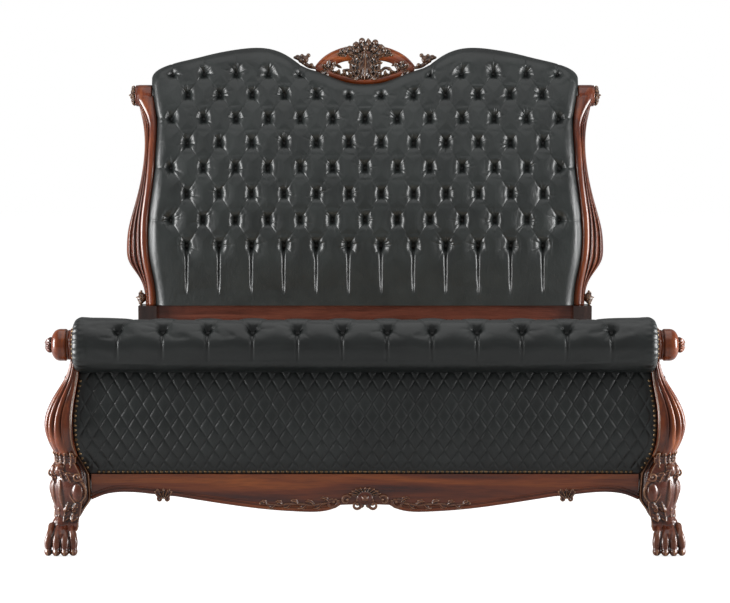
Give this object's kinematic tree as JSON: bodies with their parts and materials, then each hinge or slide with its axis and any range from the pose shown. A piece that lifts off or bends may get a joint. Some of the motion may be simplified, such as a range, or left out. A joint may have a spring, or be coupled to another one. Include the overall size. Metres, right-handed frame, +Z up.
{
  "type": "sleigh bed",
  "caption": "King-size sleigh bed with a tufted leather headboard, a carved crest, a leather roll and quilted panel on the footboard, carved paw legs, side rails and slats.",
  "frame": {"origin": "on the floor, under the middle of the bed's bounding box", "axes": "+X to the right as seen from the foot, +Y from foot to head, +Z up"},
  "size_m": [2.2584, 2.576, 1.9089],
  "materials": {
    "black_leather": "glossy pull-up leather with soft creases",
    "button_leather": "glossy leather over button blanks",
    "plain_leather": "matte leather",
    "cherry_wood": "satin lacquer over stained cherry",
    "carved_cherry": "antiqued carving, dark in the hollows and rubbed gold on the high spots",
    "dark_timber": "dark satin stain",
    "inner_timber": "plain sawn timber",
    "slat_timber": "planed pine",
    "antique_nails": "dark antique bronze",
    "zinc_steel": "zinc plated",
    "leveller_steel": "plated, satin",
    "screw_steel": "yellow passivated",
    "glide_plastic": "nylon"
  },
  "bodies": {
    "frame": {"apron_cartouche": "carved_cherry", "apron_leaf_spray_left": "carved_cherry", "apron_leaf_spray_right": "carved_cherry", "apron_shell_left": "carved_cherry", "apron_shell_right": "carved_cherry", "centre_beam": "inner_timber", "centre_beam_brackets": "zinc_steel", "centre_leg_foot": "dark_timber", "centre_leg_head": "dark_timber", "crest_mounting_plates": "zinc_steel", "crest_tendril_left": "carved_cherry", "crest_tendril_right": "carved_cherry", "footboard_apron": "cherry_wood", "footboard_core_board": "inner_timber", "footboard_corner_block_left": "dark_timber", "footboard_corner_block_right": "dark_timber", "footboard_inner_cover": "plain_leather", "footboard_leaf_collar_left": "carved_cherry", "footboard_leaf_collar_right": "carved_cherry", "footboard_nails": "antique_nails", "footboard_paw_leg_left": "carved_cherry", "footboard_paw_leg_right": "carved_cherry", "footboard_post_left": "cherry_wood", "footboard_post_right": "cherry_wood", "footboard_quilted_panel": "black_leather", "headboard_back_cover": "plain_leather", "headboard_base_rosette_left": "carved_cherry", "headboard_base_rosette_right": "carved_cherry", "headboard_buttons": "button_leather", "headboard_core_board": "inner_timber", "headboard_crest": "carved_cherry", "headboard_leg_glides": "glide_plastic", "headboard_leg_left": "dark_timber", "headboard_leg_right": "dark_timber", "headboard_lower_panel": "cherry_wood", "headboard_post_left": "cherry_wood", "headboard_post_right": "cherry_wood", "headboard_top_rosette_left": "carved_cherry", "headboard_top_rosette_right": "carved_cherry", "headboard_tufted_pad": "black_leather", "leveller_insert_foot": "zinc_steel", "leveller_insert_head": "zinc_steel", "plate_screws": "screw_steel", "post_receiver_plates": "zinc_steel", "rail_cleat_left": "inner_timber", "rail_cleat_right": "inner_timber", "rail_hook_plates": "zinc_steel", "roll_buttons": "button_leather", "roll_core": "inner_timber", "roll_finial_left": "carved_cherry", "roll_finial_right": "carved_cherry", "roll_leather_pad": "black_leather", "side_rail_left": "cherry_wood", "side_rail_right": "cherry_wood", "slat_screws": "screw_steel", "slats": "slat_timber"},
    "foot_leveller": {"leveller_foot": "leveller_steel"},
    "head_leveller": {"leveller_head": "leveller_steel"}
  },
  "joints": [
    {"name": "foot_leveller_travel", "type": "slide", "parent": "frame", "child": "foot_leveller", "axis": [0, 0, 1], "range_m": [0, 0.018]},
    {"name": "head_leveller_travel", "type": "slide", "parent": "frame", "child": "head_leveller", "axis": [0, 0, 1], "range_m": [0, 0.018]}
  ]
}
